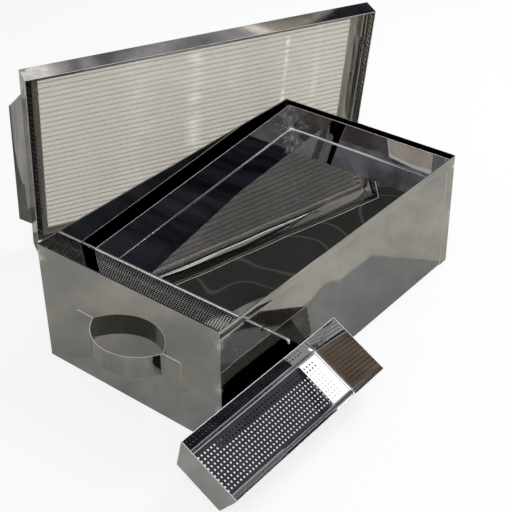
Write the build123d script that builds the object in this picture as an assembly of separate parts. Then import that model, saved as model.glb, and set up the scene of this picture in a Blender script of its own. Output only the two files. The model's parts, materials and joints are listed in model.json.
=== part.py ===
"""Solar wax melter of polished stainless steel sheet.

A tilted tray melts old comb under a glazed lid. Wax runs down the tray, through the perforated
wall at its low end, and drips into a loose trough. The lid is off and leans on the housing's
far back corner; the trough leans on the front side.

Frame, in millimetres: origin at the centre of the housing's bottom, +X from the near end to the
far end, +Y from the front side to the back side, +Z up.
"""
import os
from math import atan, cos, radians, sin, sqrt, tan

from build123d import *

# Housing
HOUSING_LENGTH = 636.0
HOUSING_WIDTH = 370.0
HOUSING_HEIGHT = 217.0
HOUSING_SHEET = 1.0
HOUSING_CORNER = 1.5
SIDE_HEM = 14.0
END_HEM = 12.0
END_FLANGE = 23.0
FOOT_FLANGE = 15.0

# Handles
HANDLE_STRIP = 37.5
HANDLE_SHEET = 1.2
HANDLE_BOTTOM = 87.2
HANDLE_HALF_SPAN = 72.0
HANDLE_REACH = 46.0
HANDLE_FOOT = 36.0

# Melting tray
TRAY_LENGTH = 524.0
TRAY_WIDTH = 349.6
TRAY_DEPTH = 52.4
TRAY_SHEET = 1.0
TRAY_BEND = 3.0
TRAY_TILT = 5.83
TRAY_NEAR_RIM_X = -216.5
TRAY_NEAR_RIM_Z = 161.0
TRAY_SIDE_GAP = 0.4
FILTER_SHEET = 1.0
FILTER_HOLE = 3.0
FILTER_PITCH = 5.0

# Support rod
ROD_DIAMETER = 5.0
ROD_CLEARANCE = 0.4
ROD_DROP_BELOW_RIM = 3.7
ROD_OUTSIDE = 41.5
ROD_BACK_END = 4.0
ROD_BEND = 3.5
ROD_HOOK = 5.5
COLLAR_DIAMETER = 10.0
COLLAR_WIDTH = 1.5
COLLAR_STANDOFF = 5.0

# Ledge under the tray's high end
LEDGE_LENGTH = 240.0
LEDGE_LEG = 20.0
LEDGE_SHEET = 1.5

# Lid
LID_OVERSIZE = 11.4
LID_SKIRT = 34.5
LID_SHEET = 1.0
LID_BORDER = 20.0
GLAZING_LAP = 10.0
LIP_REACH = 22.0
LIP_LENGTH = 292.0
LIP_CHAMFER = 19.0
GLAZING_THICKNESS = 6.0
GLAZING_SKIN = 0.7
GLAZING_RIB = 0.5
GLAZING_RIB_PITCH = 10.5
LID_YAW = -26.3
LID_LEAN = 11.1
LID_CONTACT_U = 176.5

# Trough
TROUGH_FLOOR_LENGTH = 328.0
TROUGH_FLOOR_WIDTH = 87.5
TROUGH_DEPTH = 74.0
TROUGH_END_FLARE = 14.0
TROUGH_SIDE_FLARE = 11.6
TROUGH_SHEET = 1.0
TROUGH_BEND = 6.0
TROUGH_HOLE = 3.4
TROUGH_PITCH = 7.0
TROUGH_END_MARGIN = 15.0
TROUGH_SIDE_MARGIN = 7.0
TROUGH_LEAN = 29.2
TROUGH_X = -254.0

# Outer radius of a sheet folded back on itself, in sheet thicknesses
TIGHT_FOLD = 0.9

# Clearance between loose pieces that rest on each other
REST_GAP = 0.3

SIDE_OUTER_Y = HOUSING_WIDTH / 2 - HOUSING_SHEET
SIDE_INNER_Y = SIDE_OUTER_Y - HOUSING_SHEET
END_OUTER_X = HOUSING_LENGTH / 2
END_INNER_X = END_OUTER_X - HOUSING_SHEET
HEM_BOTTOM = HOUSING_HEIGHT - SIDE_HEM

# The tray is built flat, its low end at x = 0 and its rim at z = 0, and then tilted up
TRAY_PLACE = Location((TRAY_NEAR_RIM_X, 0, TRAY_NEAR_RIM_Z), (0, -TRAY_TILT, 0))
TRAY_FRONT_Y = -SIDE_INNER_Y + TRAY_SIDE_GAP
TRAY_BACK_Y = TRAY_FRONT_Y + TRAY_WIDTH

ROD_HOLE = ROD_DIAMETER + 2 * ROD_CLEARANCE
ROD_LOCAL_X = FILTER_SHEET + REST_GAP + ROD_DIAMETER / 2
ROD_AXIS = (TRAY_PLACE * Location((ROD_LOCAL_X, 0, -ROD_DROP_BELOW_RIM))).position
ROD_OUTER_Y = -SIDE_OUTER_Y - ROD_OUTSIDE

LID_LENGTH = HOUSING_LENGTH + 2 * LID_OVERSIZE
LID_WIDTH = HOUSING_WIDTH + 2 * LID_OVERSIZE
LID_FLANGE = LID_BORDER + GLAZING_LAP
GLAZING_TOP = LID_SHEET + GLAZING_THICKNESS


def box(x, y, z):
    """Block between two values on each axis."""
    size = (x[1] - x[0], y[1] - y[0], z[1] - z[0])
    centre = (sum(x) / 2, sum(y) / 2, sum(z) / 2)
    return Pos(*centre) * Box(*size)


def prism(points, plane, amount):
    """Straight extrusion of a closed outline drawn on a plane."""
    return extrude(plane * make_face(Polyline(*points, close=True)), amount=amount, dir=plane.z_dir)


def upright_edges(solid, x, y):
    """Vertical edges at plus or minus x and y."""
    found = solid.edges().filter_by(Axis.Z)
    return [e for e in found if abs(abs(e.center().X) - x) < 0.01 and abs(abs(e.center().Y) - y) < 0.01]


def rod_bore(diameter):
    """Cutter along the rod's axis, through the whole housing."""
    return Pos(*ROD_AXIS) * Rot(90, 0, 0) * Cylinder(diameter / 2, 2 * HOUSING_WIDTH)


def make_housing_wrap():
    """Floor and long sides from one sheet, each long rim hemmed outwards."""
    half = [
        (0, 0),
        (SIDE_OUTER_Y, 0),
        (SIDE_OUTER_Y, HEM_BOTTOM),
        (SIDE_OUTER_Y + HOUSING_SHEET, HEM_BOTTOM),
        (SIDE_OUTER_Y + HOUSING_SHEET, HOUSING_HEIGHT),
        (SIDE_INNER_Y, HOUSING_HEIGHT),
        (SIDE_INNER_Y, HOUSING_SHEET),
        (0, HOUSING_SHEET),
    ]
    section = make_face(Polyline(*half, close=True))
    rim = section.vertices().group_by(Axis.Y)[-1]
    section = fillet(rim, TIGHT_FOLD * HOUSING_SHEET)
    foot = [v for v in section.vertices() if abs(v.X - SIDE_OUTER_Y) < 0.01 and v.Y < 0.01]
    section = fillet(foot, HOUSING_CORNER)
    section = section + mirror(section, Plane.YZ)
    wrap = extrude(Plane.YZ * section, amount=END_INNER_X, both=True)
    return wrap - rod_bore(ROD_HOLE)


def make_end_panel(side):
    """End sheet with side flanges below the hems, a foot flange and a hem folded inwards."""
    width = HOUSING_WIDTH / 2
    panel = box((END_INNER_X, END_OUTER_X), (-width, width), (0, HOUSING_HEIGHT))
    for y in (-width, SIDE_OUTER_Y):
        flange_x = (END_OUTER_X - END_FLANGE, END_INNER_X)
        panel += box(flange_x, (y, y + HOUSING_SHEET), (0, HEM_BOTTOM))
    panel = fillet(upright_edges(panel, END_OUTER_X, width), HOUSING_CORNER)
    hem_x = (END_INNER_X - HOUSING_SHEET, END_INNER_X)
    panel += box(hem_x, (-SIDE_INNER_Y, SIDE_INNER_Y), (HOUSING_HEIGHT - END_HEM, HOUSING_HEIGHT))
    foot_x = (END_INNER_X - FOOT_FLANGE, END_INNER_X)
    panel += box(foot_x, (-SIDE_INNER_Y, SIDE_INNER_Y), (HOUSING_SHEET, 2 * HOUSING_SHEET))
    return panel if side > 0 else mirror(panel, Plane.YZ)


def make_handle(side):
    """Strip bent to an arc, with a flat foot at each end."""
    radius = (HANDLE_HALF_SPAN**2 + HANDLE_REACH**2) / (2 * HANDLE_REACH)
    centre_x = END_OUTER_X + HANDLE_REACH - radius
    band = Pos(centre_x, 0) * (Circle(radius + HANDLE_SHEET) - Circle(radius))
    reach = 2 * HANDLE_REACH
    span = 2 * (HANDLE_HALF_SPAN + HANDLE_FOOT)
    outline = band & Pos(END_OUTER_X + reach / 2, 0) * Rectangle(reach, 2 * span)
    for y in (-1, 1):
        foot = Rectangle(HANDLE_SHEET, HANDLE_FOOT)
        outline += Pos(END_OUTER_X + HANDLE_SHEET / 2, y * (HANDLE_HALF_SPAN + HANDLE_FOOT / 2)) * foot
    strip = extrude(Pos(0, 0, HANDLE_BOTTOM) * outline, amount=HANDLE_STRIP)
    return strip if side > 0 else mirror(strip, Plane.YZ)


def make_tray_ledge():
    """Angle on the far end panel, its level leg just under the tray's floor."""
    inner_x = END_INNER_X - LEDGE_LEG
    floor = (TRAY_PLACE * Location((0, 0, -TRAY_DEPTH))).position
    top = floor.Z + (inner_x - floor.X) * tan(radians(TRAY_TILT)) - REST_GAP
    half = LEDGE_LENGTH / 2
    level = box((inner_x, END_INNER_X), (-half, half), (top - LEDGE_SHEET, top))
    upright = box((END_INNER_X - LEDGE_SHEET, END_INNER_X), (-half, half), (top - LEDGE_LEG, top))
    return level + upright


def make_support_rod():
    """Round rod, its outer end bent down into a short hook."""
    x, z = ROD_AXIS.X, ROD_AXIS.Z
    back, outer = SIDE_OUTER_Y + ROD_BACK_END, ROD_OUTER_Y
    path = FilletPolyline((x, back, z), (x, outer, z), (x, outer, z - ROD_HOOK), radius=ROD_BEND)
    start = Plane(origin=path @ 0, z_dir=path % 0)
    return sweep(start * Circle(ROD_DIAMETER / 2), path=path)


def make_rod_collar():
    """Stop ring that keeps the rod from sliding further in."""
    centre_y = -SIDE_OUTER_Y - COLLAR_STANDOFF - COLLAR_WIDTH / 2
    ring = Circle(COLLAR_DIAMETER / 2) - Circle(ROD_DIAMETER / 2)
    ring = extrude(ring, amount=COLLAR_WIDTH / 2, both=True)
    return Pos(ROD_AXIS.X, centre_y, ROD_AXIS.Z) * Rot(90, 0, 0) * ring


def make_melting_tray():
    """Floor, two sides and high end, folded from one sheet; the low end is left open."""
    y = (TRAY_FRONT_Y, TRAY_BACK_Y)
    inner_y = (y[0] + TRAY_SHEET, y[1] - TRAY_SHEET)
    outer = box((0, TRAY_LENGTH), y, (-TRAY_DEPTH, 0))
    folds = outer.faces().sort_by(Axis.Z)[0].edges() - outer.faces().sort_by(Axis.X)[0].edges()
    outer = fillet(folds, TRAY_BEND + TRAY_SHEET)
    inner = box((0, TRAY_LENGTH - TRAY_SHEET), inner_y, (TRAY_SHEET - TRAY_DEPTH, 0))
    folds = inner.faces().sort_by(Axis.Z)[0].edges() - inner.faces().sort_by(Axis.X)[0].edges()
    inner = fillet(folds, TRAY_BEND)
    return TRAY_PLACE * (outer - inner) - rod_bore(ROD_HOLE)


def make_tray_filter_wall():
    """Sheet across the low end, its top edge cut along the middle of a row of holes."""
    inner_y = (TRAY_FRONT_Y + TRAY_SHEET, TRAY_BACK_Y - TRAY_SHEET)
    width = inner_y[1] - inner_y[0]
    low = TRAY_SHEET - TRAY_DEPTH
    outline = Pos(sum(inner_y) / 2, low / 2) * Rectangle(width, -low)
    low_corners = outline.vertices().group_by(Axis.Y)[0]
    outline = fillet(low_corners, TRAY_BEND)
    count = int((width - FILTER_HOLE) / FILTER_PITCH) + 1
    notch = RegularPolygon(FILTER_HOLE / 2, 6)
    middle = Pos(sum(inner_y) / 2)
    outline -= [middle * place * notch for place in GridLocations(FILTER_PITCH, 1, count, 1)]
    return TRAY_PLACE * extrude(Plane.YZ * outline, amount=FILTER_SHEET)


def lid_place():
    """Lid frame: x along the long rails, y up the short rails, z towards the open side.

    The skirt of the bottom rail stands on the ground and the glazing leans on the housing's far
    back corner.
    """
    yaw, lean = radians(LID_YAW), radians(LID_LEAN)
    along = Vector(cos(yaw), sin(yaw), 0)
    level = Vector(sin(yaw), -cos(yaw), 0)
    outwards = level * cos(lean) - Vector(0, 0, sin(lean))
    base_z = LID_SKIRT * sin(lean)
    corner = Vector(END_OUTER_X, HOUSING_WIDTH / 2, HOUSING_HEIGHT)
    drop = corner.Z - base_z
    reach = (GLAZING_TOP + REST_GAP + drop * sin(lean)) / cos(lean)
    origin = Vector(corner.X, corner.Y, base_z) - along * LID_CONTACT_U - level * reach
    return Plane(origin=origin, x_dir=along, z_dir=outwards)


def rail_region(side):
    """Area of one rail up to its 45 degree mitres: 0 bottom, 1 far, 2 top, 3 near."""
    length, width = LID_LENGTH / 2, LID_WIDTH / 2
    if side in (0, 2):
        points = [(-length, -width), (length, -width), (length - width, 0), (width - length, 0)]
        turned = points if side == 0 else [(-x, -y) for x, y in points]
    else:
        points = [(length, -width), (length, width), (length - width, 0)]
        turned = points if side == 1 else [(-x, -y) for x, y in points]
    return Pos(0, width, 0) * prism(turned, Plane.XY, LID_SKIRT)


def make_lid_frame():
    """Flange all round the glazing and the skirt that drops over the housing."""
    middle = Pos(0, LID_WIDTH / 2, 0)
    outer = Rectangle(LID_LENGTH, LID_WIDTH)
    opening = Rectangle(LID_LENGTH - 2 * LID_FLANGE, LID_WIDTH - 2 * LID_FLANGE)
    inside = Rectangle(LID_LENGTH - 2 * LID_SHEET, LID_WIDTH - 2 * LID_SHEET)
    shell = extrude(outer, amount=LID_SKIRT)
    edge = shell.faces().sort_by(Axis.Z)[0].outer_wire().edges()
    shell = fillet(edge, TIGHT_FOLD * LID_SHEET)
    shell -= extrude(opening, amount=LID_SHEET)
    shell -= Pos(0, 0, LID_SHEET) * extrude(inside, amount=LID_SKIRT)
    return middle * shell


def make_lifting_lip():
    """Lip at the far end, folded double in the plane of the flange."""
    half = LIP_LENGTH / 2
    root = LID_LENGTH / 2
    tip = root + LIP_REACH
    points = [(root, -half), (tip, -half + LIP_CHAMFER), (tip, half - LIP_CHAMFER), (root, half)]
    return Pos(0, LID_WIDTH / 2, 0) * prism(points, Plane.XY, 2 * LID_SHEET)


def make_lid_glazing():
    """Twin-wall panel: two skins and the ribs between them, the flutes open at both ends."""
    length = LID_LENGTH - 2 * LID_BORDER
    width = LID_WIDTH - 2 * LID_BORDER
    section = Rectangle(width, GLAZING_THICKNESS)
    count = int(width / GLAZING_RIB_PITCH)
    flute = Rectangle(GLAZING_RIB_PITCH - GLAZING_RIB, GLAZING_THICKNESS - 2 * GLAZING_SKIN)
    section -= [place * flute for place in GridLocations(GLAZING_RIB_PITCH, 1, count, 1)]
    panel = extrude(Plane.YZ * section, amount=length / 2, both=True)
    return Pos(0, LID_WIDTH / 2, LID_SHEET + GLAZING_THICKNESS / 2) * panel


def fold_setback(flare):
    """Distance from a floor edge to where the bend into a flared wall starts."""
    return TROUGH_BEND / tan(radians(45) + atan(flare / TROUGH_DEPTH) / 2)


def trough_form(inset):
    """Tapered block with flat sides, its four floor edges rounded like folds."""
    rings = []
    for z in (inset, TROUGH_DEPTH):
        halves = []
        ends, sides = (TROUGH_FLOOR_LENGTH, TROUGH_END_FLARE), (TROUGH_FLOOR_WIDTH, TROUGH_SIDE_FLARE)
        for floor, flare in (ends, sides):
            slope = flare / TROUGH_DEPTH
            halves.append(floor / 2 + slope * z - inset * sqrt(1 + slope**2))
        x, y = halves
        rings.append([(-x, -y, z), (x, -y, z), (x, y, z), (-x, y, z)])
    low, high = rings
    faces = [make_face(Polyline(*ring, close=True)).face() for ring in rings]
    for k in range(4):
        after = (k + 1) % 4
        wall = Polyline(low[k], low[after], high[after], high[k], close=True)
        faces.append(make_face(wall).face())
    block = Solid(Shell(faces))
    return fillet(block.edges().group_by(Axis.Z)[0], TROUGH_BEND - inset)


def trough_place():
    """Rolled pose: the front fold stands on the ground, the back fold leans on the housing."""
    lean = radians(TROUGH_LEAN)
    fold_y = TROUGH_FLOOR_WIDTH / 2 - fold_setback(TROUGH_SIDE_FLARE)
    rise = TROUGH_BEND + fold_y * sin(lean) - TROUGH_BEND * cos(lean)
    back = fold_y * cos(lean) - TROUGH_BEND * sin(lean) + TROUGH_BEND
    return Location((TROUGH_X, -HOUSING_WIDTH / 2 - REST_GAP - back, rise), (TROUGH_LEAN, 0, 0))


def make_trough():
    """Perforated floor and four flared walls, keyed by node name."""
    shell = trough_form(0) - trough_form(TROUGH_SHEET)
    x_fold, y_fold = fold_setback(TROUGH_END_FLARE), fold_setback(TROUGH_SIDE_FLARE)
    x, y = TROUGH_FLOOR_LENGTH / 2 - x_fold, TROUGH_FLOOR_WIDTH / 2 - y_fold
    reach = 2 * (TROUGH_END_FLARE + x_fold)
    x_rim, y_rim = x + reach, y + reach * (TROUGH_SIDE_FLARE + y_fold) / (TROUGH_END_FLARE + x_fold)
    end_area = [(x, -y), (x_rim, -y_rim), (x_rim, y_rim), (x, y)]
    side_area = [(-x, -y), (-x_rim, -y_rim), (x_rim, -y_rim), (x, -y)]
    regions = {
        "trough_far_end": end_area,
        "trough_near_end": [(-px, -py) for px, py in end_area],
        "trough_front_wall": side_area,
        "trough_back_wall": [(-px, -py) for px, py in side_area],
    }
    pieces = {name: shell & prism(points, Plane.XY, TROUGH_DEPTH) for name, points in regions.items()}
    columns = int(2 * (x - TROUGH_END_MARGIN) / TROUGH_PITCH) + 1
    rows = int(2 * (y - TROUGH_SIDE_MARGIN) / TROUGH_PITCH) + 1
    sheet = Rectangle(2 * x, 2 * y)
    hole = RegularPolygon(TROUGH_HOLE / 2, 4)
    sheet -= [place * hole for place in GridLocations(TROUGH_PITCH, TROUGH_PITCH, columns, rows)]
    pieces["trough_floor"] = extrude(sheet, amount=TROUGH_SHEET)
    place = trough_place()
    return {name: place * piece for name, piece in pieces.items()}


def make_lid():
    """Four mitred rails and the glazing, keyed by node name."""
    frame = make_lid_frame()
    lip = make_lifting_lip()
    pieces = {
        "lid_bottom_rail": frame & rail_region(0),
        "lid_far_rail": (frame & rail_region(1)) + lip,
        "lid_top_rail": frame & rail_region(2),
        "lid_near_rail": (frame & rail_region(3)) + mirror(lip, Plane.YZ),
        "lid_glazing": make_lid_glazing(),
    }
    place = Location(lid_place())
    return {name: place * piece for name, piece in pieces.items()}


def main():
    nodes = {
        "housing_wrap": make_housing_wrap(),
        "near_end_panel": make_end_panel(-1),
        "far_end_panel": make_end_panel(1),
        "near_handle": make_handle(-1),
        "far_handle": make_handle(1),
        "tray_ledge": make_tray_ledge(),
        "support_rod": make_support_rod(),
        "rod_collar": make_rod_collar(),
        "melting_tray": make_melting_tray(),
        "tray_filter_wall": make_tray_filter_wall(),
    }
    nodes.update(make_lid())
    nodes.update(make_trough())
    os.makedirs("parts", exist_ok=True)
    for name, shape in nodes.items():
        shape.label = name
        export_step(shape, f"parts/{name}.step")


main()
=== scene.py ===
"""Solar wax melter of polished stainless steel, with its lid and its trough beside it."""
import json

import bpy
from math import cos, radians, sin, sqrt
from mathutils import Matrix, Vector


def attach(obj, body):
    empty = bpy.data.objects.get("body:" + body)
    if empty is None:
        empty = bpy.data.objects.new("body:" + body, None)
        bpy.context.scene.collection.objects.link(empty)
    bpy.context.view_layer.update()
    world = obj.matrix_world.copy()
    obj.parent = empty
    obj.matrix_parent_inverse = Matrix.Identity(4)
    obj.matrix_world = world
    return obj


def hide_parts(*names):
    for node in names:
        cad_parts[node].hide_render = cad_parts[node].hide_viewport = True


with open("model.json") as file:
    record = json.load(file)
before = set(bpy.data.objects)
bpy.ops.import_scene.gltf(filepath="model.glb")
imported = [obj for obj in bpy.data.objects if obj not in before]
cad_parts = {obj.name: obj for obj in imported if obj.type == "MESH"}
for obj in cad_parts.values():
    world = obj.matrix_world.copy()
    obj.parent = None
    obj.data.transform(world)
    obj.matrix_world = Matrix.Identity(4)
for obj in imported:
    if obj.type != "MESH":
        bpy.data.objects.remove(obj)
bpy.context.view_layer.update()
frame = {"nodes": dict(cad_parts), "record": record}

# Sizes in metres, as the model has them
SHEET = 0.001
TRAY_TILT = radians(5.83)
TRAY_NEAR_RIM = Vector((-0.2165, 0.0, 0.161))
TRAY_DEPTH = 0.0524
TRAY_BEND = 0.003
FILTER_HOLE = 0.003
FILTER_PITCH = 0.005
FILTER_FRONT_Y = -0.1816
FILTER_BACK_Y = 0.166
TROUGH_PLACE = Matrix.Translation((-0.254, -0.222083, 0.019602)) @ Matrix.Rotation(radians(29.2), 4, "X")
TROUGH_FLOOR_X = 0.159032
TROUGH_FLOOR_Y = 0.038619
TROUGH_HOLE = 0.0034
TROUGH_PITCH = 0.007
TROUGH_COLUMNS = 42
TROUGH_ROWS = 10
TRAY_PLACE = Matrix.Translation(TRAY_NEAR_RIM) @ Matrix.Rotation(-TRAY_TILT, 4, "Y")
LID_U = Vector((0.896486, -0.443071, 0.0))
LID_V = Vector((-0.085301, -0.172593, 0.981293))
LID_W = Vector((-0.434783, -0.879716, -0.192522))
LID_PLACE = Matrix.Translation((0.181352, 0.30687, 0.006642)) @ Matrix((LID_U, LID_V, LID_W)).transposed().to_4x4()

BEND_ANGLE = radians(35)
FLAT_ANGLE = radians(0.3)
SAME_PLANE = 0.9999
WIDEST_CUT_EDGE = SHEET * 1.3
SHORTEST_CUT_EDGE = 12 * SHEET
CONTOUR_LEVELS = 22.0
CONTOUR_WIDTH = 0.15


# ---------------------------------------------------------------- node helpers


def material(name):
    """Empty material with a shader on its output."""
    made = bpy.data.materials.new(name)
    made.use_nodes = True
    made.node_tree.nodes.clear()
    output = made.node_tree.nodes.new("ShaderNodeOutputMaterial")
    shader = made.node_tree.nodes.new("ShaderNodeBsdfPrincipled")
    made.node_tree.links.new(shader.outputs[0], output.inputs[0])
    return made, made.node_tree, shader


def node(tree, kind, settings=None, **inputs):
    """One node, with its settings and the values of its inputs."""
    made = tree.nodes.new(kind)
    for key, value in (settings or {}).items():
        setattr(made, key, value)
    for key, value in inputs.items():
        feed(tree, value, made.inputs[key.replace("_", " ")])
    return made


def feed(tree, value, socket):
    """Links a socket or sets its plain value."""
    if isinstance(value, bpy.types.NodeSocket):
        tree.links.new(value, socket)
    else:
        socket.default_value = value


def object_point(tree, stretch=(1, 1, 1)):
    """Object coordinates, stretched to draw a pattern out along an axis."""
    coordinates = node(tree, "ShaderNodeTexCoord").outputs["Object"]
    return node(tree, "ShaderNodeMapping", Vector=coordinates, Scale=stretch).outputs[0]


def cloud(tree, point, scale, detail=3.0, roughness=0.6):
    made = node(tree, "ShaderNodeTexNoise", Vector=point, Scale=scale, Detail=detail, Roughness=roughness)
    return made.outputs[0]


def spread(tree, value, low, high, to_low=0.0, to_high=1.0):
    """Value mapped from one range to another and held at its ends."""
    mapped = node(tree, "ShaderNodeMapRange", {"clamp": True}, Value=value)
    for key, amount in zip(("From Min", "From Max", "To Min", "To Max"), (low, high, to_low, to_high)):
        mapped.inputs[key].default_value = amount
    return mapped.outputs[0]


def maths(tree, operation, first, second):
    made = node(tree, "ShaderNodeMath", {"operation": operation})
    feed(tree, first, made.inputs[0])
    feed(tree, second, made.inputs[1])
    return made.outputs[0]


def tint(tree, factor, first, second):
    """Colour between two colours."""
    made = node(tree, "ShaderNodeMix", {"data_type": "RGBA"})
    feed(tree, factor, made.inputs[0])
    for socket, colour in zip((made.inputs[6], made.inputs[7]), (first, second)):
        feed(tree, (*colour, 1) if isinstance(colour, tuple) else colour, socket)
    return made.outputs[2]


def blend_value(tree, factor, first, second):
    made = node(tree, "ShaderNodeMix", {"data_type": "FLOAT"})
    for socket, value in zip(made.inputs[:4], (factor, None, first, second)):
        if value is not None:
            feed(tree, value, socket)
    return made.outputs[0]


def near_points(tree, places, reach):
    """1 at any of the places, falling to 0 with a ragged border at about their reach."""
    point = node(tree, "ShaderNodeTexCoord").outputs["Object"]
    ragged = maths(tree, "MULTIPLY", cloud(tree, point, 90.0, 3.0), 1.6 * reach)
    total = 0.0
    for place in places:
        gap = node(tree, "ShaderNodeVectorMath", {"operation": "DISTANCE"})
        feed(tree, point, gap.inputs[0])
        gap.inputs[1].default_value = place
        off = maths(tree, "ADD", gap.outputs["Value"], ragged)
        total = maths(tree, "MAXIMUM", total, spread(tree, off, 0.9 * reach, 1.8 * reach, 1.0, 0.0))
    return total


def dent(tree, place, width):
    """Shallow round hollow, 0 in its middle and 1 outside."""
    gap = node(tree, "ShaderNodeVectorMath", {"operation": "DISTANCE"})
    feed(tree, node(tree, "ShaderNodeTexCoord").outputs["Object"], gap.inputs[0])
    gap.inputs[1].default_value = place
    hollow = node(tree, "ShaderNodeMapRange", {"interpolation_type": "SMOOTHERSTEP"}, Value=gap.outputs["Value"])
    hollow.inputs["From Max"].default_value = width
    return hollow.outputs[0]


# ---------------------------------------------------------------- finishes


def sheet_steel(
    name, colour, roughness, smudge, wave, grain, rolling=0.1, mottle=0.12, weld_and_highlight_marks=(), reach=0.012, dents=()
):
    """Polished sheet: slow waves, faint rolling lines, mottling, hand smudges and ground weld marks, which on the
    trough also carry a painted highlight up one corner.
    """
    made, tree, shader = material(name)
    shader.inputs["Metallic"].default_value = 1.0
    point = object_point(tree)
    broad = spread(tree, cloud(tree, point, 7.0, 3.0), 0.35, 0.68)
    small = spread(tree, cloud(tree, point, 45.0, 4.0, 0.7), 0.35, 0.68)
    patches = maths(tree, "ADD", maths(tree, "MULTIPLY", broad, 0.6), maths(tree, "MULTIPLY", small, 0.4))
    base = tint(tree, patches, colour, tuple(channel * (1 - mottle) for channel in colour))
    fine = spread(tree, cloud(tree, point, 60.0, 5.0, 0.65), 0.42, 0.8, roughness, roughness + smudge)
    slow = cloud(tree, point, 4.0, 1.5, 0.5)
    waves = node(tree, "ShaderNodeBump", Height=slow, Strength=1.0, Distance=wave)
    for place, width, depth in dents:
        hollow = dent(tree, place, width)
        waves = node(tree, "ShaderNodeBump", Height=hollow, Strength=1.0, Distance=depth, Normal=waves.outputs[0])
    lines = cloud(tree, object_point(tree, grain), 900.0, 2.0)
    rolled = node(tree, "ShaderNodeBump", Height=lines, Strength=rolling, Distance=0.00001, Normal=waves.outputs[0])
    # Brighter, rougher patches: ground weld marks, and on the trough also a painted highlight along its far back
    # corner.
    if weld_and_highlight_marks:
        mark = near_points(tree, weld_and_highlight_marks, reach)
        brushed = spread(tree, cloud(tree, object_point(tree, (1, 1, 0.25)), 420.0, 3.0), 0.35, 0.62)
        ground = maths(tree, "MULTIPLY", mark, brushed)
        base = tint(tree, ground, base, (0.90, 0.91, 0.93))
        fine = blend_value(tree, ground, fine, 0.40)
    feed(tree, base, shader.inputs["Base Color"])
    feed(tree, fine, shader.inputs["Roughness"])
    feed(tree, rolled.outputs[0], shader.inputs["Normal"])
    return made


def sheared_edge(name, colour, metallic):
    """Cut edge of the sheet, matt and bright."""
    made, tree, shader = material(name)
    shader.inputs["Metallic"].default_value = metallic
    shader.inputs["Base Color"].default_value = (*colour, 1)
    burr = cloud(tree, object_point(tree), 400.0)
    feed(tree, spread(tree, burr, 0.3, 0.7, 0.32, 0.5), shader.inputs["Roughness"])
    return made


def lid_point(tree):
    """Place on the leaning lid, along and up its glazing."""
    coordinates = node(tree, "ShaderNodeTexCoord").outputs["Object"]
    local = node(tree, "ShaderNodeMapping", {"vector_type": "TEXTURE"}, Vector=coordinates)
    local.inputs["Location"].default_value = LID_PLACE.to_translation()
    local.inputs["Rotation"].default_value = LID_PLACE.to_euler()
    return local.outputs[0]


def painted_light_streaks(tree):
    """Painted highlights: broken streaks of light down the panel, across its flutes."""
    local = lid_point(tree)
    along = node(tree, "ShaderNodeSeparateXYZ", Vector=local).outputs["X"]
    drawn_out = node(tree, "ShaderNodeMapping", Vector=local, Scale=(0.3, 1, 1)).outputs[0]
    broken = spread(tree, cloud(tree, drawn_out, 60.0), 0.4, 0.6)
    total = 0.0
    for place, width, strength in PAINTED_LIGHT_STREAKS:
        off = maths(tree, "ABSOLUTE", maths(tree, "SUBTRACT", along, place), 0.0)
        streak = maths(tree, "MULTIPLY", spread(tree, off, 0.0, width, strength, 0.0), broken)
        total = maths(tree, "MAXIMUM", total, streak)
    return total


def twin_wall(name, milk, colour, second, tone, mirror_shade_tone=1.0, mirror_shade_milk=1.0):
    """Clear polycarbonate, slightly milky, with soft bands and streaks of light painted across its flutes.

    Seen by way of a mirror it takes the mirror shade tone and milk instead: painted shade, darker and clearer there,
    which keeps its flutes apart.
    """
    made = bpy.data.materials.new(name)
    made.use_nodes = True
    tree = made.node_tree
    tree.nodes.clear()
    banded = node(tree, "ShaderNodeMapping", Vector=lid_point(tree), Scale=(1, 0.12, 0.12)).outputs[0]
    bands = spread(tree, cloud(tree, banded, 11.0, 3.0, 0.55), 0.40, 0.68)
    streaks = painted_light_streaks(tree)
    body = node(tree, "ShaderNodeBsdfDiffuse", Color=tint(tree, bands, colour, second))
    # Painted shade: where the panel is seen in a mirror its tone and milk drop, which darkens it there.
    glossy = node(tree, "ShaderNodeLightPath").outputs["Is Glossy Ray"]
    seen = tint(tree, glossy, tone, tuple(channel * mirror_shade_tone for channel in tone))
    clear = node(tree, "ShaderNodeBsdfTransparent", Color=tint(tree, streaks, seen, (1.0, 1.0, 0.99)))
    cloudy = blend_value(tree, bands, milk, min(1.0, milk * 1.5))
    cloudy = blend_value(tree, glossy, cloudy, maths(tree, "MULTIPLY", cloudy, mirror_shade_milk))
    milky = node(tree, "ShaderNodeMixShader", Fac=blend_value(tree, streaks, cloudy, 0.0))
    tree.links.new(clear.outputs[0], milky.inputs[1])
    tree.links.new(body.outputs[0], milky.inputs[2])
    gloss = node(tree, "ShaderNodeBsdfGlossy", Color=(1, 1, 1, 1), Roughness=0.08)
    fresnel = node(tree, "ShaderNodeFresnel", IOR=1.45)
    entering = maths(tree, "SUBTRACT", 1.0, node(tree, "ShaderNodeNewGeometry").outputs["Backfacing"])
    shine = maths(tree, "MULTIPLY", fresnel.outputs[0], entering)
    surface = node(tree, "ShaderNodeMixShader", Fac=shine)
    tree.links.new(milky.outputs[0], surface.inputs[1])
    tree.links.new(gloss.outputs[0], surface.inputs[2])
    output = node(tree, "ShaderNodeOutputMaterial")
    tree.links.new(surface.outputs[0], output.inputs[0])
    return made


# Place along the lid, width and strength of each painted highlight streak on the glazing.
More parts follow.
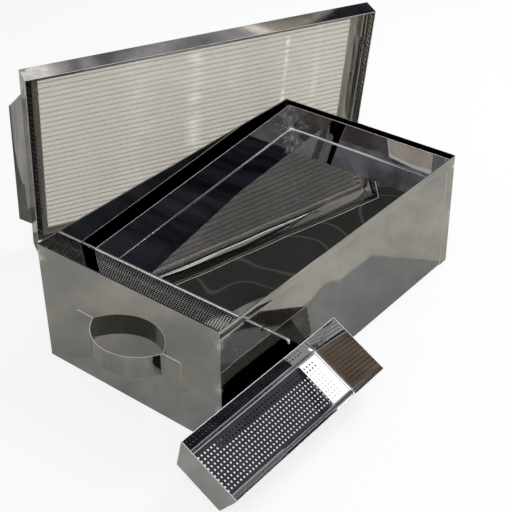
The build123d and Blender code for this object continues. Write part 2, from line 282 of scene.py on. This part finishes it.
PAINTED_LIGHT_STREAKS = ((0.170, 0.006, 0.9), (-0.012, 0.022, 0.5), (0.235, 0.010, 0.4), (-0.120, 0.050, 0.2))
HOUSING_WELDS = (
    (-0.318, 0.185, 0.205), (-0.318, 0.180, 0.195), (-0.318, -0.185, 0.11), (-0.318, -0.183, 0.07),
    (-0.318, -0.185, 0.19), (0.318, -0.185, 0.2), (0.318, 0.185, 0.2), (0.318, -0.185, 0.1),
)
HOUSING_DENTS = (
    ((-0.318, 0.130, 0.060), 0.070, 0.0009), ((-0.050, -0.185, 0.130), 0.060, 0.0005),
    ((0.160, -0.185, 0.150), 0.070, 0.0005),
)
TRAY_WELDS = tuple(
    tuple(TRAY_PLACE @ Vector((x, y, z)))
    for x in (0.523, 0.003)
    for y in (-0.1810, 0.1655)
    for z in (-0.003, -0.028, -0.049)
) + tuple(
    tuple(TRAY_PLACE @ Vector(place))
    for place in ((0.503, 0.1655, -0.030), (0.523, 0.146, -0.026), (0.505, 0.147, -0.0515), (0.508, 0.1655, -0.012))
)
LID_WELDS = tuple(tuple(LID_PLACE @ Vector((x, y, 0))) for x in (-0.322, 0.322) for y in (0.004, 0.389))
# Ground weld marks at the trough's floor corners, then points up the far back corner that paint a bright highlight
# line along that bend.
TROUGH_WELDS_AND_CORNER_HIGHLIGHT = tuple(
    tuple(TROUGH_PLACE @ Vector((x, y, 0.004))) for x in (-0.163, 0.163) for y in (-0.043, 0.043)
) + tuple(
    tuple(TROUGH_PLACE @ Vector((0.163 + 0.014 * part, 0.043 + 0.0116 * part, 0.074 * part)))
    for part in (0.25, 0.4, 0.55, 0.7, 0.85)
)

STEELS = {
    "housing": sheet_steel(
        "housing_steel", (0.50, 0.49, 0.46), 0.035, 0.05, 0.0022, (1, 1, 0.02), 0.12, 0.22, HOUSING_WELDS, 0.014,
        HOUSING_DENTS,
    ),
    "tray": sheet_steel(
        "tray_steel", (0.58, 0.58, 0.585), 0.005, 0.012, 0.0011, (0.02, 1, 1), 0.02, 0.10, TRAY_WELDS, 0.016
    ),
    "rod": sheet_steel("rod_steel", (0.66, 0.65, 0.63), 0.12, 0.10, 0.0, (1, 0.02, 1), 0.3, 0.1),
    "lid": sheet_steel(
        "lid_steel", (0.55, 0.54, 0.52), 0.04, 0.07, 0.0018, (0.02, 1, 1), 0.12, 0.16, LID_WELDS, 0.012
    ),
    "trough": sheet_steel(
        "trough_steel", (0.58, 0.58, 0.59), 0.02, 0.04, 0.0010, (0.02, 1, 1), 0.04, 0.10, TROUGH_WELDS_AND_CORNER_HIGHLIGHT, 0.005
    ),
}
EDGE = sheared_edge("sheared_edge", (0.93, 0.93, 0.91), 0.55)
PUNCHED = sheared_edge("punched_edge", (0.68, 0.68, 0.67), 0.6)
TEETH = sheared_edge("sheared_teeth", (0.97, 0.97, 0.96), 0.35)
# The last two numbers darken the skin and the rib where they are seen in a mirror: painted shade.
SKIN = twin_wall("polycarbonate_skin", 0.10, (0.56, 0.52, 0.46), (0.84, 0.80, 0.73), (0.935, 0.925, 0.905), 1.0, 0.45)
RIB = twin_wall("polycarbonate_rib", 0.20, (0.62, 0.58, 0.52), (0.82, 0.78, 0.71), (0.93, 0.925, 0.91), 0.2, 0.3)
FLUTE_END = twin_wall("polycarbonate_sawn_end", 0.90, (0.80, 0.80, 0.78), (0.92, 0.92, 0.90), (0.95, 0.95, 0.95))


# ---------------------------------------------------------------- modelling helpers


def only(piece):
    """Makes one piece the active and only selected one."""
    bpy.ops.object.select_all(action="DESELECT")
    piece.select_set(True)
    bpy.context.view_layer.objects.active = piece


def edit(piece):
    only(piece)
    bpy.ops.object.mode_set(mode="EDIT")


def leave():
    bpy.ops.object.mode_set(mode="OBJECT")


def pick_verts(piece, wanted):
    """Selects the vertices whose place passes the test, in edit mode."""
    bpy.ops.mesh.select_mode(type="VERT")
    bpy.ops.mesh.select_all(action="DESELECT")
    leave()
    for vertex in piece.data.vertices:
        vertex.select = wanted(vertex.co)
    bpy.ops.object.mode_set(mode="EDIT")


def pick_outline(piece, wanted):
    """Selects the open edges whose middle passes the test, in edit mode."""
    bpy.ops.mesh.select_mode(type="EDGE")
    bpy.ops.mesh.select_all(action="DESELECT")
    bpy.ops.mesh.select_non_manifold(extend=False, use_wire=False, use_multi_face=False, use_non_contiguous=False)
    leave()
    vertices = piece.data.vertices
    for edge in piece.data.edges:
        middle = (vertices[edge.vertices[0]].co + vertices[edge.vertices[1]].co) / 2
        if not wanted(middle):
            edge.select = False
    for vertex in vertices:
        vertex.select = False
    for edge in piece.data.edges:
        if edge.select:
            for end in edge.vertices:
                vertices[end].select = True
    bpy.ops.object.mode_set(mode="EDIT")


def resize(x, y, z=1.0):
    bpy.ops.transform.resize(value=(x, y, z), center_override=(0, 0, 0))


def repeat(piece, count, step):
    """Copies the piece's mesh in a row and joins the copies where they meet."""
    row = piece.modifiers.new("row", "ARRAY")
    row.count = count
    row.use_relative_offset = False
    row.use_constant_offset = True
    row.constant_offset_displace = step
    row.use_merge_vertices = True
    row.merge_threshold = 0.00001
    only(piece)
    bpy.ops.object.modifier_apply(modifier=row.name)


def cut(place, outward):
    """Trims what lies beyond a plane."""
    bpy.ops.mesh.select_all(action="SELECT")
    bpy.ops.mesh.bisect(plane_co=place, plane_no=outward, clear_outer=True)


def thicken(piece, thickness, offset):
    wall = piece.modifiers.new("wall", "SOLIDIFY")
    wall.thickness = thickness
    wall.offset = offset
    only(piece)
    bpy.ops.object.modifier_apply(modifier=wall.name)


def even_shading(piece):
    """Smooth bends between truly flat faces."""
    only(piece)
    bpy.ops.object.shade_smooth_by_angle(angle=BEND_ANGLE)
    flat = piece.modifiers.new("flat_sheet", "WEIGHTED_NORMAL")
    flat.keep_sharp = True
    flat.weight = 100
    bpy.ops.object.modifier_apply(modifier=flat.name)


def set_down(piece, place):
    """Puts the piece at its place and writes the place into its mesh."""
    only(piece)
    piece.matrix_world = place
    bpy.ops.object.transform_apply(location=True, rotation=True, scale=True)


def finish_piece(piece, name, body, node_name):
    piece.name = name
    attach(piece, body)
    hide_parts(node_name)


# ---------------------------------------------------------------- perforated sheets


def make_filter_sheet():
    """Staggered round holes across the tray's low end, the top edge cut through a row of them."""
    bpy.ops.object.select_all(action="DESELECT")
    bpy.ops.mesh.primitive_circle_add(vertices=12, radius=FILTER_HOLE / 2, fill_type="NOTHING")
    sheet = bpy.context.active_object
    edit(sheet)
    bpy.ops.mesh.select_all(action="SELECT")
    bpy.ops.mesh.extrude_edges_indiv()
    web = FILTER_PITCH / FILTER_HOLE
    resize(web, web)
    corner = FILTER_PITCH / 2 * 0.9
    pick_verts(sheet, lambda p: p.length > corner and any(
        abs(p.x - p.length * cos(radians(turn))) + abs(p.y - p.length * sin(radians(turn))) < 0.00001
        for turn in range(30, 390, 60)
    ))
    resize(2 / sqrt(3), 2 / sqrt(3))
    leave()
    across = int((FILTER_BACK_Y - FILTER_FRONT_Y) / FILTER_PITCH) + 3
    rise = FILTER_PITCH * sqrt(3) / 2
    pairs = int(TRAY_DEPTH / (2 * rise)) + 2
    repeat(sheet, across, (FILTER_PITCH, 0, 0))
    repeat(sheet, 2, (-FILTER_PITCH / 2, -rise, 0))
    repeat(sheet, pairs, (0, -2 * rise, 0))
    middle = (FILTER_FRONT_Y + FILTER_BACK_Y) / 2
    low = SHEET - TRAY_DEPTH
    start = middle - (across - 1) / 2 * FILTER_PITCH
    set_down(sheet, Matrix.Translation((start, 0, 0)))
    edit(sheet)
    cut((0, 0, 0), (0, 1, 0))
    cut((0, low, 0), (0, -1, 0))
    cut((FILTER_FRONT_Y, 0, 0), (-1, 0, 0))
    cut((FILTER_BACK_Y, 0, 0), (1, 0, 0))
    for side, edge_y in ((-1, FILTER_FRONT_Y), (1, FILTER_BACK_Y)):
        for turn in (15, 45, 75):
            out = Vector((side * cos(radians(turn)), -sin(radians(turn)), 0))
            centre = Vector((edge_y - side * TRAY_BEND, low + TRAY_BEND, 0))
            cut(centre + out * TRAY_BEND * cos(radians(15)), out)
    bpy.ops.mesh.select_all(action="SELECT")
    bpy.ops.mesh.remove_doubles(threshold=0.000005)
    bpy.ops.mesh.normals_make_consistent(inside=False)
    leave()
    thicken(sheet, SHEET, 0.0)
    upright = Matrix(((0, 0, 1, SHEET / 2), (1, 0, 0, 0), (0, 1, 0, 0), (0, 0, 0, 1)))
    set_down(sheet, TRAY_PLACE @ upright)
    sheet.data.materials.append(STEELS["tray"])
    sheet.data.materials.append(PUNCHED)
    sheet.data.materials.append(TEETH)
    into_tray = TRAY_PLACE.inverted()
    across_sheet = (TRAY_PLACE.to_3x3() @ Vector((1, 0, 0))).normalized()
    for face in sheet.data.polygons:
        tooth = (into_tray @ face.center).z > -FILTER_HOLE * 0.55
        face.material_index = 2 if tooth else int(abs(face.normal.dot(across_sheet)) < 0.5)
    finish_piece(sheet, "tray_filter_sheet", "tray", "tray_filter_wall")


def make_trough_sheet():
    """Square field of drawn holes with a plain border."""
    bpy.ops.object.select_all(action="DESELECT")
    bpy.ops.mesh.primitive_circle_add(vertices=16, radius=TROUGH_HOLE / 2, fill_type="NOTHING")
    sheet = bpy.context.active_object
    edit(sheet)
    bpy.ops.mesh.select_all(action="SELECT")
    bpy.ops.mesh.extrude_edges_indiv()
    bpy.ops.transform.translate(value=(0, 0, SHEET * 0.92))
    bpy.ops.mesh.extrude_edges_indiv()
    bpy.ops.transform.translate(value=(0, 0, SHEET * 0.08))
    broken = 1.05
    resize(broken, broken)
    bpy.ops.mesh.extrude_edges_indiv()
    half = TROUGH_PITCH / 2
    radius = TROUGH_HOLE / 2 * broken
    resize(half / radius, half / radius)
    pick_verts(sheet, lambda p: p.z < SHEET * 0.1)
    bpy.ops.mesh.select_mode(type="EDGE")
    bpy.ops.mesh.extrude_edges_indiv()
    resize(TROUGH_PITCH / TROUGH_HOLE, TROUGH_PITCH / TROUGH_HOLE)
    for first, step, reach in ((22.5, 45, 1 / cos(radians(22.5))), (45, 90, sqrt(2))):
        turns = [first + step * k for k in range(int(360 / step))]
        pick_verts(sheet, lambda p: Vector((p.x, p.y)).length > half * 0.97 and any(
            (Vector((cos(radians(turn)), sin(radians(turn)))) - Vector((p.x, p.y)).normalized()).length < 0.01
            for turn in turns
        ))
        resize(reach, reach)
    leave()
    repeat(sheet, TROUGH_COLUMNS, (TROUGH_PITCH, 0, 0))
    repeat(sheet, TROUGH_ROWS, (0, TROUGH_PITCH, 0))
    half_x = (TROUGH_COLUMNS - 1) / 2 * TROUGH_PITCH
    half_y = (TROUGH_ROWS - 1) / 2 * TROUGH_PITCH
    set_down(sheet, Matrix.Translation((-half_x, -half_y, 0)))
    field_x, field_y = half_x + half, half_y + half
    edit(sheet)
    pick_outline(sheet, lambda p: p.z > SHEET / 2 and (abs(p.x) > field_x - 0.0001 or abs(p.y) > field_y - 0.0001))
    bpy.ops.mesh.extrude_edges_indiv()
    resize(TROUGH_FLOOR_X / field_x, TROUGH_FLOOR_Y / field_y)
    bpy.ops.mesh.extrude_edges_indiv()
    bpy.ops.transform.translate(value=(0, 0, -SHEET))
    bpy.ops.mesh.extrude_edges_indiv()
    resize(field_x / TROUGH_FLOOR_X, field_y / TROUGH_FLOOR_Y)
    bpy.ops.mesh.select_all(action="SELECT")
    bpy.ops.mesh.remove_doubles(threshold=0.00001)
    bpy.ops.mesh.normals_make_consistent(inside=False)
    leave()
    only(sheet)
    set_down(sheet, TROUGH_PLACE)
    even_shading(sheet)
    sheet.data.materials.append(STEELS["trough"])
    finish_piece(sheet, "trough_perforated_floor", "trough", "trough_floor")


# ---------------------------------------------------------------- dressed sheet pieces


def make_glazing():
    """Twin-wall panel whose ribs are milkier than its skins and whose sawn ends are brightest."""
    panel = dress("lid_glazing")
    panel.data.materials.clear()
    for finish in (SKIN, RIB, FLUTE_END):
        panel.data.materials.append(finish)
    for face in panel.data.polygons:
        if abs(face.normal.dot(LID_U)) > 0.9:
            face.material_index = 2
        elif abs(face.normal.dot(LID_V)) > 0.9:
            face.material_index = 1
    finish_piece(panel, "lid_glazing_panel", "lid", "lid_glazing")


def dress(name):
    """Copy of a folded piece with clean faces and smooth bends."""
    source = frame["nodes"][name]
    only(source)
    bpy.ops.object.duplicate()
    piece = bpy.context.active_object
    edit(piece)
    bpy.ops.mesh.select_all(action="SELECT")
    bpy.ops.mesh.remove_doubles(threshold=0.000002)
    bpy.ops.mesh.dissolve_limited(angle_limit=FLAT_ANGLE)
    leave()
    even_shading(piece)
    return piece


def neighbours(piece):
    """Faces on the two sides of each edge, by the edge's corners."""
    sides = {}
    for face in piece.data.polygons:
        for key in face.edge_keys:
            sides.setdefault(key, []).append(face.index)
    return sides


def flat_parts(piece, sides):
    """Groups of touching faces that lie in one plane."""
    faces = piece.data.polygons
    seen = set()
    for first in faces:
        if first.index in seen:
            continue
        seen.add(first.index)
        group, waiting = [], [first.index]
        while waiting:
            index = waiting.pop()
            group.append(index)
            for other in (o for key in faces[index].edge_keys for o in sides[key]):
                if other not in seen and faces[other].normal.dot(first.normal) > SAME_PLANE:
                    seen.add(other)
                    waiting.append(other)
        yield group


def paint_steel(piece, steel):
    """Sheet finish all over, and the sheared finish on flat strips as narrow as the sheet."""
    piece.data.materials.clear()
    piece.data.materials.append(steel)
    piece.data.materials.append(EDGE)
    sides = neighbours(piece)
    faces = piece.data.polygons
    vertices = piece.data.vertices
    for group in flat_parts(piece, sides):
        inside = set(group)
        border = [key for index in group for key in faces[index].edge_keys if not inside.issuperset(sides[key])]
        around = sum((vertices[a].co - vertices[b].co).length for a, b in border)
        area = sum(faces[index].area for index in group)
        if around < SHORTEST_CUT_EDGE or 2 * area / around > WIDEST_CUT_EDGE:
            continue
        normal = faces[group[0]].normal
        beside = [other for key in border for other in sides[key] if other not in inside]
        if all(abs(faces[other].normal.dot(normal)) < 0.4 for other in beside):
            for index in group:
                faces[index].material_index = 1


for body, names in frame["record"]["behaviour"]["bodies"].items():
    for name in names:
        if name == "lid_glazing":
            make_glazing()
        elif name == "tray_filter_wall":
            make_filter_sheet()
        elif name == "trough_floor":
            make_trough_sheet()
        else:
            sheet = dress(name)
            paint_steel(sheet, STEELS[body])
            finish_piece(sheet, name + "_sheet", body, name)


# ---------------------------------------------------------------- studio


def share_white(tree, camera_share, mirror_share):
    """How much plain white a ray sees: one share for the camera, another in mirrors and glass."""
    path = node(tree, "ShaderNodeLightPath")
    mirror = maths(tree, "MAXIMUM", path.outputs["Is Glossy Ray"], path.outputs["Is Transmission Ray"])
    seen = maths(tree, "MULTIPLY", path.outputs["Is Camera Ray"], camera_share)
    return maths(tree, "MAXIMUM", seen, maths(tree, "MULTIPLY", mirror, mirror_share))


def make_floor():
    bpy.ops.object.select_all(action="DESELECT")
    bpy.ops.mesh.primitive_plane_add(size=16, location=(0, 0, -0.0006))
    floor = bpy.context.active_object
    floor.name = "studio_floor"
    made = bpy.data.materials.new("studio_floor")
    made.use_nodes = True
    tree = made.node_tree
    tree.nodes.clear()
    matt = node(tree, "ShaderNodeBsdfDiffuse", Color=(0.86, 0.86, 0.86, 1))
    glow = node(tree, "ShaderNodeEmission", Color=(1, 1, 1, 1), Strength=1.0)
    mixed = node(tree, "ShaderNodeMixShader", Fac=share_white(tree, 0.8, 0.8))
    tree.links.new(matt.outputs[0], mixed.inputs[1])
    tree.links.new(glow.outputs[0], mixed.inputs[2])
    output = node(tree, "ShaderNodeOutputMaterial")
    tree.links.new(mixed.outputs[0], output.inputs[0])
    floor.data.materials.append(made)


def make_world():
    world = bpy.data.worlds.new("studio")
    bpy.context.scene.world = world
    world.use_nodes = True
    tree = world.node_tree
    tree.nodes.clear()
    soft = node(tree, "ShaderNodeBackground", Color=(0.95, 0.97, 1.0, 1), Strength=0.5)
    white = node(tree, "ShaderNodeBackground", Color=(1, 1, 1, 1), Strength=1.0)
    mixed = node(tree, "ShaderNodeMixShader", Fac=share_white(tree, 1.0, 1.0))
    tree.links.new(soft.outputs[0], mixed.inputs[1])
    tree.links.new(white.outputs[0], mixed.inputs[2])
    output = node(tree, "ShaderNodeOutputWorld")
    tree.links.new(mixed.outputs[0], output.inputs[0])


def card_paint(name, colour, second, stretch, scale, lit=False, contour=None):
    """Studio card, clouded or streaked between two tones, with contour lines if asked, glowing or lit by the lamps."""
    made = bpy.data.materials.new(name)
    made.use_nodes = True
    tree = made.node_tree
    tree.nodes.clear()
    point = object_point(tree, stretch)
    streaks = spread(tree, cloud(tree, point, scale, 3.0), 0.38, 0.62)
    paint = tint(tree, streaks, colour, second)
    if contour:
        levels = maths(tree, "MULTIPLY", cloud(tree, point, scale, 0.5), CONTOUR_LEVELS)
        line = spread(tree, maths(tree, "PINGPONG", levels, 1.0), 0.0, CONTOUR_WIDTH, 1.0, 0.0)
        paint = tint(tree, line, paint, contour)
    if lit:
        face = node(tree, "ShaderNodeBsdfDiffuse", Color=paint)
    else:
        face = node(tree, "ShaderNodeEmission", Color=paint, Strength=1.0)
    output = node(tree, "ShaderNodeOutputMaterial")
    tree.links.new(face.outputs[0], output.inputs[0])
    return made


def make_card(
    name, corners, colour, second=None, stretch=(1, 1, 1), scale=1.0, lit=False, contour=None
):
    """Flat card of four corners that only the polished metal mirrors."""
    bpy.ops.object.select_all(action="DESELECT")
    bpy.ops.mesh.primitive_plane_add(size=1)
    card = bpy.context.active_object
    card.name = name
    order = (0, 1, 3, 2)
    for vertex, corner in zip(card.data.vertices, order):
        vertex.co = corners[corner]
    card.data.materials.append(card_paint(name, colour, second or colour, stretch, scale, lit, contour))
    card.visible_camera = False
    card.visible_diffuse = False
    card.visible_shadow = False
    card.visible_transmission = False


def level_card(name, x_span, y_span, z, colour, second=None, stretch=(1, 1, 1), scale=1.0, lit=False, contour=None):
    """Level card, above the object or as a mat on the floor."""
    (x0, x1), (y0, y1) = x_span, y_span
    corners = ((x0, y0, z), (x1, y0, z), (x1, y1, z), (x0, y1, z))
    make_card(name, corners, colour, second, stretch, scale, lit, contour)


def skirt_strip(name, start, end, colour, second, scale=1.0):
    """Card high up where only the lid's top rail mirrors it."""
    corners = [
        (x, 10.268 - 0.49 * x + off, HIGH - 0.05)
        for x, off in ((start, -0.7), (end, -0.7), (end, 0.19), (start, 0.19))
    ]
    make_card(name, corners, colour, second, (1, 1, 1), scale)


def wall(name, y_span, z_span, colour, second=None, scale=1.0):
    """Upright card far behind the near end."""
    (y0, y1), (z0, z1) = y_span, z_span
    corners = ((-2.6, y0, z0), (-2.6, y1, z0), (-2.6, y1, z1), (-2.6, y0, z1))
    make_card(name, corners, colour, second, (1, 1, 1), scale)


def make_lamp(name, place, aim, size, power, colour=(1, 1, 1)):
    lamp = bpy.data.lights.new(name, "AREA")
    lamp.shape = "RECTANGLE"
    lamp.size, lamp.size_y = size
    lamp.energy = power
    lamp.color = colour
    holder = bpy.data.objects.new(name, lamp)
    holder.location = place
    holder.rotation_euler = (Vector(aim) - Vector(place)).to_track_quat("-Z", "Y").to_euler()
    holder.visible_glossy = False
    bpy.context.scene.collection.objects.link(holder)


def make_camera():
    azimuth, elevation, roll = radians(50.83), radians(33.65), radians(-0.91)
    forward = Vector((cos(elevation) * sin(azimuth), cos(elevation) * cos(azimuth), -sin(elevation)))
    level = Vector((cos(azimuth), -sin(azimuth), 0))
    upward = level.cross(forward)
    right = cos(roll) * level + sin(roll) * upward
    top = cos(roll) * upward - sin(roll) * level
    turn = Matrix((right, top, -forward)).transposed().to_4x4()
    lens = bpy.data.cameras.new("camera")
    lens.sensor_width = 36.0
    lens.lens = 81.7
    camera = bpy.data.objects.new("camera", lens)
    camera.matrix_world = Matrix.Translation((-1.2753, -1.0332, 1.1930)) @ turn
    bpy.context.scene.collection.objects.link(camera)
    bpy.context.scene.camera = camera


make_floor()
make_world()
CEILING = 2.0
HIGH = 10.0
level_card(
    "ceiling_card", (0.0, 3.4), (-3.2, 1.0), CEILING, (0.010, 0.011, 0.015), (0.050, 0.054, 0.070), (1, 0.1, 1), 9.0,
)
level_card(
    "ceiling_contour_card", (0.0, 18.0), (5.0, 18.0), HIGH, (0.032, 0.032, 0.030), (0.046, 0.045, 0.042),
    (1, 0.8, 1), 0.6, contour=(0.11, 0.107, 0.098),
)
make_card(
    "back_card", ((3.4, 1.7, 0.02), (-1.2, 1.7, 0.02), (-1.2, 1.7, 1.98), (3.4, 1.7, 1.98)),
    (0.085, 0.087, 0.092), (0.13, 0.132, 0.138), (1, 1, 1), 1.5,
)
make_card(
    "trough_light_card", ((1.52, -0.75, 1.99), (1.85, -0.75, 1.99), (1.85, -1.33, 1.99), (1.68, -1.33, 1.99)),
    (3.0, 3.05, 3.1),
)
level_card("trough_second_light_card", (-1.15, -0.45), (-1.5, -0.7), CEILING - 0.01, (4.0, 4.0, 4.0))
skirt_strip("skirt_corner_card", 5.9, 6.45, (0.9, 0.88, 0.84), (1.4, 1.38, 1.35))
skirt_strip("skirt_blue_card", 6.45, 8.5, (0.17, 0.165, 0.17), (0.52, 0.52, 0.54), 2.6)
skirt_strip("skirt_second_blue_card", 8.5, 8.93, (0.30, 0.30, 0.33), (0.50, 0.50, 0.52), 2.6)
skirt_strip("skirt_window_card", 8.93, 9.26, (1.3, 1.22, 1.08), (1.0, 0.94, 0.84), 4.0)
skirt_strip("skirt_brown_card", 9.26, 9.72, (0.36, 0.29, 0.27), (0.50, 0.44, 0.40), 3.0)
skirt_strip("skirt_grey_card", 9.72, 10.15, (0.42, 0.37, 0.35), (0.52, 0.47, 0.44), 3.0)
skirt_strip("skirt_cream_card", 10.15, 10.42, (0.85, 0.78, 0.70), (0.62, 0.57, 0.51), 3.0)
skirt_strip("skirt_end_card", 10.42, 12.5, (0.45, 0.42, 0.38), (0.30, 0.28, 0.25), 2.0)
level_card("curve_light_card", (-0.95, 0.5), (-2.25, -2.05), CEILING - 0.01, (9.0, 9.0, 9.0))
level_card(
    "trough_dim_card", (0.95, 1.53), (-1.25, -0.85), CEILING - 0.01, (0.065, 0.062, 0.080), (0.085, 0.082, 0.10),
    (1, 1, 1), 6.0,
)
level_card("lip_light_card", (0.85, 1.15), (-0.55, -0.25), CEILING - 0.01, (1.3, 1.3, 1.3))
level_card(
    "mat", (-1.6, 1.6), (-1.6, 1.6), -0.0004, (0.62, 0.60, 0.55), (0.44, 0.435, 0.41), (1, 1, 1), 5.0, lit=True,
)
make_card(
    "near_mat", ((-0.40, -0.25, -0.0002), (-0.30, -0.25, -0.0002), (-0.30, 0.22, -0.0002), (-0.385, 0.06, -0.0002)),
    (0.64, 0.645, 0.65), (0.50, 0.505, 0.51), (1, 1, 1), 9.0, lit=True,
)
make_card(
    "front_mat", ((-0.10, -0.31, -0.0001), (0.25, -0.30, -0.0001), (0.31, -0.18, -0.0001), (-0.10, -0.18, -0.0001)),
    (0.28, 0.29, 0.30), (0.36, 0.365, 0.365), (1, 1, 1), 8.0, lit=True,
)
level_card(
    "back_mat", (-0.29, 0.4), (0.187, 0.5), -0.0002, (0.13, 0.13, 0.125), (0.24, 0.235, 0.22), (1, 1, 1), 6.0,
    lit=True,
)
# Dark card under the trough that only mirrors see: painted shade standing for the shadow beneath the trough.
level_card(
    "trough_shade_card", (-0.40, -0.06), (-0.30, -0.186), -0.0001, (0.05, 0.05, 0.055), (0.07, 0.07, 0.07), (1, 1, 1), 6.0,
    lit=True,
)
make_card(
    "glazing_card", ((5.0, 9.4, 9.9), (11.0, 6.4, 9.9), (11.0, 13.0, 9.9), (5.0, 13.0, 9.9)),
    (0.065, 0.067, 0.070), (0.11, 0.112, 0.116), (1, 1, 1), 0.8,
)
wall("wall_dark_card", (1.77, 2.9), (1.2, 2.02), (0.10, 0.075, 0.085), (0.17, 0.15, 0.15), 6.0)
wall("wall_cream_card", (1.49, 1.765), (1.90, 2.005), (0.78, 0.68, 0.58), (0.66, 0.57, 0.49), 8.0)
wall("wall_grey_card", (0.9, 1.49), (1.2, 2.02), (0.30, 0.29, 0.31), (0.14, 0.135, 0.15), 6.0)
wall("wall_lavender_card", (0.9, 2.9), (2.02, 2.9), (0.27, 0.262, 0.285), (0.10, 0.097, 0.108), 5.0)
make_card(
    "brown_card", ((-1.75, -1.3, 0.45), (-1.75, 0.3, 0.45), (-1.75, 0.3, 1.45), (-1.75, -1.3, 1.45)),
    (0.36, 0.27, 0.20), (0.20, 0.15, 0.11), (1, 9, 0.6), 2.2,
)
make_card(
    "camera_side_card", ((-2.9, -1.6, 1.4), (-1.8, -2.9, 1.4), (-1.8, -2.9, 2.7), (-2.9, -1.6, 2.7)),
    (0.50, 0.50, 0.50), (0.16, 0.16, 0.17), (1, 1, 1), 2.5,
)
make_lamp("softbox", (1.4, -0.5, 1.9), (0.1, 0.0, 0.0), (1.2, 1.6), 30)
make_lamp("fill", (-1.6, -1.2, 2.2), (0, 0, 0.1), (1.4, 1.4), 26)
make_camera()
bpy.context.scene.view_settings.view_transform = "Standard"
